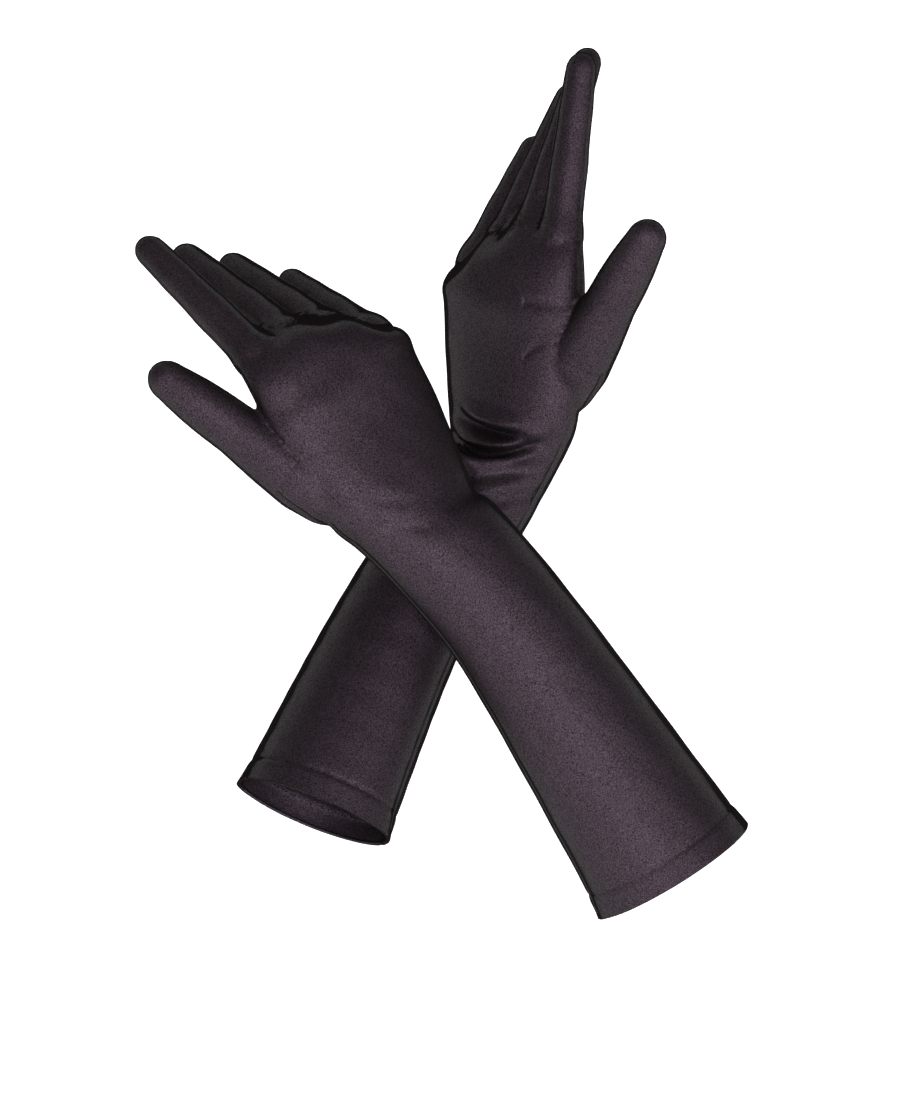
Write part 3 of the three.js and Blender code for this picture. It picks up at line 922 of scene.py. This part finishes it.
REPLACED = {
    "back_panel": ("sleeve_back", "wrist_back", "hand_back"),
    "palm_panel": ("sleeve_palm", "wrist_palm", "hand_palm"),
    "thumb_gusset": ("thumb_gusset",),
    "thumb_gusset_neck": ("thumb_base",),
    "thumb_cap": ("thumb_tip",),
    "cuff": ("cuff_hem",),
}


def replaced_nodes(name):
    if name in REPLACED:
        return REPLACED[name]
    if name.endswith("_cap"):
        return (name.replace("_cap", "_tip"),)
    return (name.replace("_strip", ""),)


def face_area(points, quads):
    a, b, c, d = (points[quads[:, k]] for k in range(4))
    return np.linalg.norm(np.cross(c - a, d - b), axis=1).sum() / 2


STRETCH = 1.06  # how much larger the worn cloth is than the cut
CUT_SHARE = {"cuff": 0.96, "thumb": 0.7, "panel": 0.78}  # of the rectangle each panel is cut from
CUT_SHARE_OF_FINGER = 0.82
LEAST_CUT = 10.0  # the least width or length that a sheet is given


def declare_cut(name, points, quads, place):
    """Works out the flat size a panel was cut to: its length, and the width that its area gives; nothing
    is kept or returned.
    """
    used = np.unique(quads)
    span = np.ptp(place.into(points[used]), axis=0)
    area = face_area(points, quads) / STRETCH
    share = next((v for key, v in CUT_SHARE.items() if key in name), CUT_SHARE_OF_FINGER)
    if name == "cuff":
        length, width = HEM_HEIGHT, area / share / HEM_HEIGHT
    else:
        length = max(span[2], LEAST_CUT)
        width = max(area / share / length, LEAST_CUT)
    area = min(area, width * length)


def thread_tube(name, seam, radius, material, sink=0.0):
    """A thin round line along a seam, such as a pressed seam edge or a rolled fold."""
    line = seam.points - seam.normals * sink
    tangent = np.gradient(line, axis=0)
    tangent /= np.maximum(np.linalg.norm(tangent, axis=1, keepdims=True), 1e-9)
    aside = np.cross(seam.normals, tangent)
    aside /= np.maximum(np.linalg.norm(aside, axis=1, keepdims=True), 1e-9)
    out = np.cross(tangent, aside)
    around = 8
    rings = []
    for k in range(around):
        turn = 2 * math.pi * k / around
        rings.append(line + radius * (math.cos(turn) * aside + math.sin(turn) * out))
    verts, faces = closed_mesh(np.stack(rings, 1))
    return make_mesh(name, verts, faces, material)


SIDE_SEAM_END = 104.0  # along the hand, just short of the web


def dress(side, glove):
    """Seam lines, darkened to carry painted shade of their grooves, stitches and the cuff's rolled edge.
    """
    on_trunk = glove.part == TRUNK
    everywhere = np.ones(len(glove.points), bool)
    edge = glove.seam(glove.from_cuff - 0.6, everywhere, glove.angle, closed=True, step=1.6)
    roll = thread_tube(f"{side}_cuff_roll", edge, 0.8, HEM_SATIN, sink=0.5)
    attach(side, glove, "cuff", roll)
    below_top = glove.from_cuff - HEM_HEIGHT + 0.9
    hem = glove.seam(below_top, everywhere, glove.angle, closed=True, step=1.2)
    stitches = stitch_line(f"{side}_cuff_stitches", hem, 1.5, 1.9, 0.42, THREAD_AND_SEAM_SHADE, zigzag=True, lift=0.12)
    attach(side, glove, "cuff", stitches)

    for label, turn in (("thumb_side", 0.0), ("little_side", math.pi)):
        angle = wrapped(glove.angle - turn)
        mask = on_trunk & (np.abs(angle) < 0.6) & (glove.from_cuff > 0.5) & (glove.oval > 0.03)
        mask &= glove.along < SIDE_SEAM_END
        seam = glove.seam(angle, mask, glove.along, step=2.0)
        # The near-black line is the seam's thread and also painted shade of the seam's groove
        line = thread_tube(f"{side}_{label}_seam", seam, 0.4, THREAD_AND_SEAM_SHADE, sink=0.1)
        attach(side, glove, "back_panel", line)
    near = (np.abs(glove.oval) < 0.9) & (on_trunk | (glove.along < GUSSET_END))
    seam = glove.seam(glove.oval, near, glove.oval_turn, closed=True, step=1.2)
    # The near-black line is the seam's thread and also painted shade of the thumb seam's groove
    line = thread_tube(f"{side}_thumb_seam", seam, 0.42, THREAD_AND_SEAM_SHADE, sink=0.1)
    stitches = stitch_line(f"{side}_thumb_stitches", seam, 1.7, 1.0, 0.42, THREAD_AND_SEAM_SHADE, lift=0.15)
    for piece in (line, stitches):
        attach(side, glove, "thumb_gusset", piece)
    for name in FINGERS:
        dress_finger(side, glove, name)


def dress_finger(side, glove, name):
    """The seams beside a finger's fourchettes, in two pieces, one by its root and one by its tip."""
    inner = [math.pi] if name == "little" else [math.pi - FOURCHETTE, math.pi + FOURCHETTE]
    outer = [0.0] if name == "index" else [FOURCHETTE, -FOURCHETTE]
    cut = fold_split(name)
    spans = {"strip": (FINGER_START, cut), "cap": (cut, FINGERS[name]["reach"] - 4)}
    for k, edge in enumerate(inner + outer):
        angle = wrapped(glove.angle - edge)
        for kind, (low, high) in spans.items():
            mask = (glove.part == PARTS[name]) & (np.abs(angle) < 0.5)
            mask &= (glove.along >= low) & (glove.along <= high)
            seam = glove.seam(angle, mask, glove.along, step=1.8)
            # The near-black line is the seam's thread and also painted shade of the seam's groove
            line = thread_tube(f"{side}_{name}_{kind}_seam_{k + 1}", seam, 0.3, THREAD_AND_SEAM_SHADE, sink=0.08)
            attach(side, glove, f"{name}_{kind}", line)


def build(side):
    """Makes every piece of one glove."""
    glove = Glove(side)
    names, label = labels(glove)
    face_label = face_labels(label, glove.net.quads)
    for i, name in enumerate(names):
        quads = glove.net.quads[face_label == i]
        is_hem = name == "cuff"
        cloth = HEM_CLOTH if is_hem else CLOTH
        material = HEM_SATIN if is_hem else SATIN
        obj = cloth_piece(f"{side}_{name}", glove.points, glove.normals, quads, material, cloth)
        attach(side, glove, name, obj)
        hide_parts(*(f"{side}_{node}" for node in replaced_nodes(name)))
        declare_cut(name, glove.points, quads, place_of(glove, name))
    dress(side, glove)


for glove_side in GLOVES:
    build(glove_side)


# ---------------------------------------------------------------- stage, light and camera
VIEW_CENTRE = np.array([61.0, 0.0, 116.7])
VIEW_DISTANCE = 1800.0
FRAME_HEIGHT = 484.0  # of the picture, at the gloves
FRAME_DEPTH = 1778.0  # from the camera to the plane where that height is measured
SENSOR = 24.0
STAGE = {"half": 3.0, "floor": -0.17, "wall": 1.6, "bend": 0.5, "bend_steps": 12}


def stage():
    """A pale floor that sweeps up into a pale wall behind the gloves."""
    floor, wall, bend, half = (STAGE[key] for key in ("floor", "wall", "bend", "half"))
    profile = [(-half, floor)]
    for i in range(STAGE["bend_steps"] + 1):
        turn = math.pi / 2 * i / STAGE["bend_steps"]
        profile.append((wall - bend + bend * math.sin(turn), floor + bend - bend * math.cos(turn)))
    profile.append((wall, half))
    verts = [(x, y, z) for x in (-half, half) for y, z in profile]
    count = len(profile)
    faces = [(i, i + 1, count + i + 1, count + i) for i in range(count - 1)]
    mesh = bpy.data.meshes.new("studio")
    mesh.from_pydata(verts, [], faces)
    mesh.polygons.foreach_set("use_smooth", [True] * len(faces))
    obj = bpy.data.objects.new("studio", mesh)
    bpy.context.collection.objects.link(obj)
    material = plain("studio", (0.86, 0.86, 0.86), 0.9)
    shader = material.node_tree.nodes["Principled BSDF"]
    shader.inputs["Emission Color"].default_value = (1, 1, 1, 1)
    shader.inputs["Emission Strength"].default_value = 0.9
    mesh.materials.append(material)


def area_light(name, at, aim, size, power):
    data = bpy.data.lights.new(name, "AREA")
    data.shape = "RECTANGLE"
    data.size, data.size_y = size
    data.energy = power
    obj = bpy.data.objects.new(name, data)
    bpy.context.collection.objects.link(obj)
    obj.location = at
    obj.rotation_euler = (Vector(aim) - Vector(at)).to_track_quat("-Z", "Y").to_euler()


def lights():
    """A broad key by the camera, a fill from the right and a faint top light, in a dim studio."""
    aim = (0.06, 0.0, 0.12)
    area_light("key", (0.1, -2.3, -0.1), aim, (0.9, 0.9), 38)
    area_light("fill", (1.6, -1.5, 0.1), aim, (0.8, 1.2), 9)
    area_light("top", (-0.4, -0.8, 1.9), aim, (1.2, 1.2), 2.5)
    world = bpy.data.worlds.new("studio_air")
    world.use_nodes = True
    air = world.node_tree.nodes["Background"]
    air.inputs["Color"].default_value = (0.9, 0.91, 0.93, 1)
    air.inputs["Strength"].default_value = 0.14
    bpy.context.scene.world = world
    bpy.context.scene.view_settings.view_transform = "Standard"


def camera():
    data = bpy.data.cameras.new("camera")
    data.sensor_fit = "VERTICAL"
    data.sensor_height = SENSOR
    data.lens = SENSOR * FRAME_DEPTH / FRAME_HEIGHT
    data.clip_end = 20
    obj = bpy.data.objects.new("camera", data)
    bpy.context.collection.objects.link(obj)
    obj.location = (VIEW_CENTRE + (0, -VIEW_DISTANCE, 0)) * MM
    obj.rotation_euler = (math.pi / 2, 0, 0)
    bpy.context.scene.camera = obj


stage()
lights()
camera()
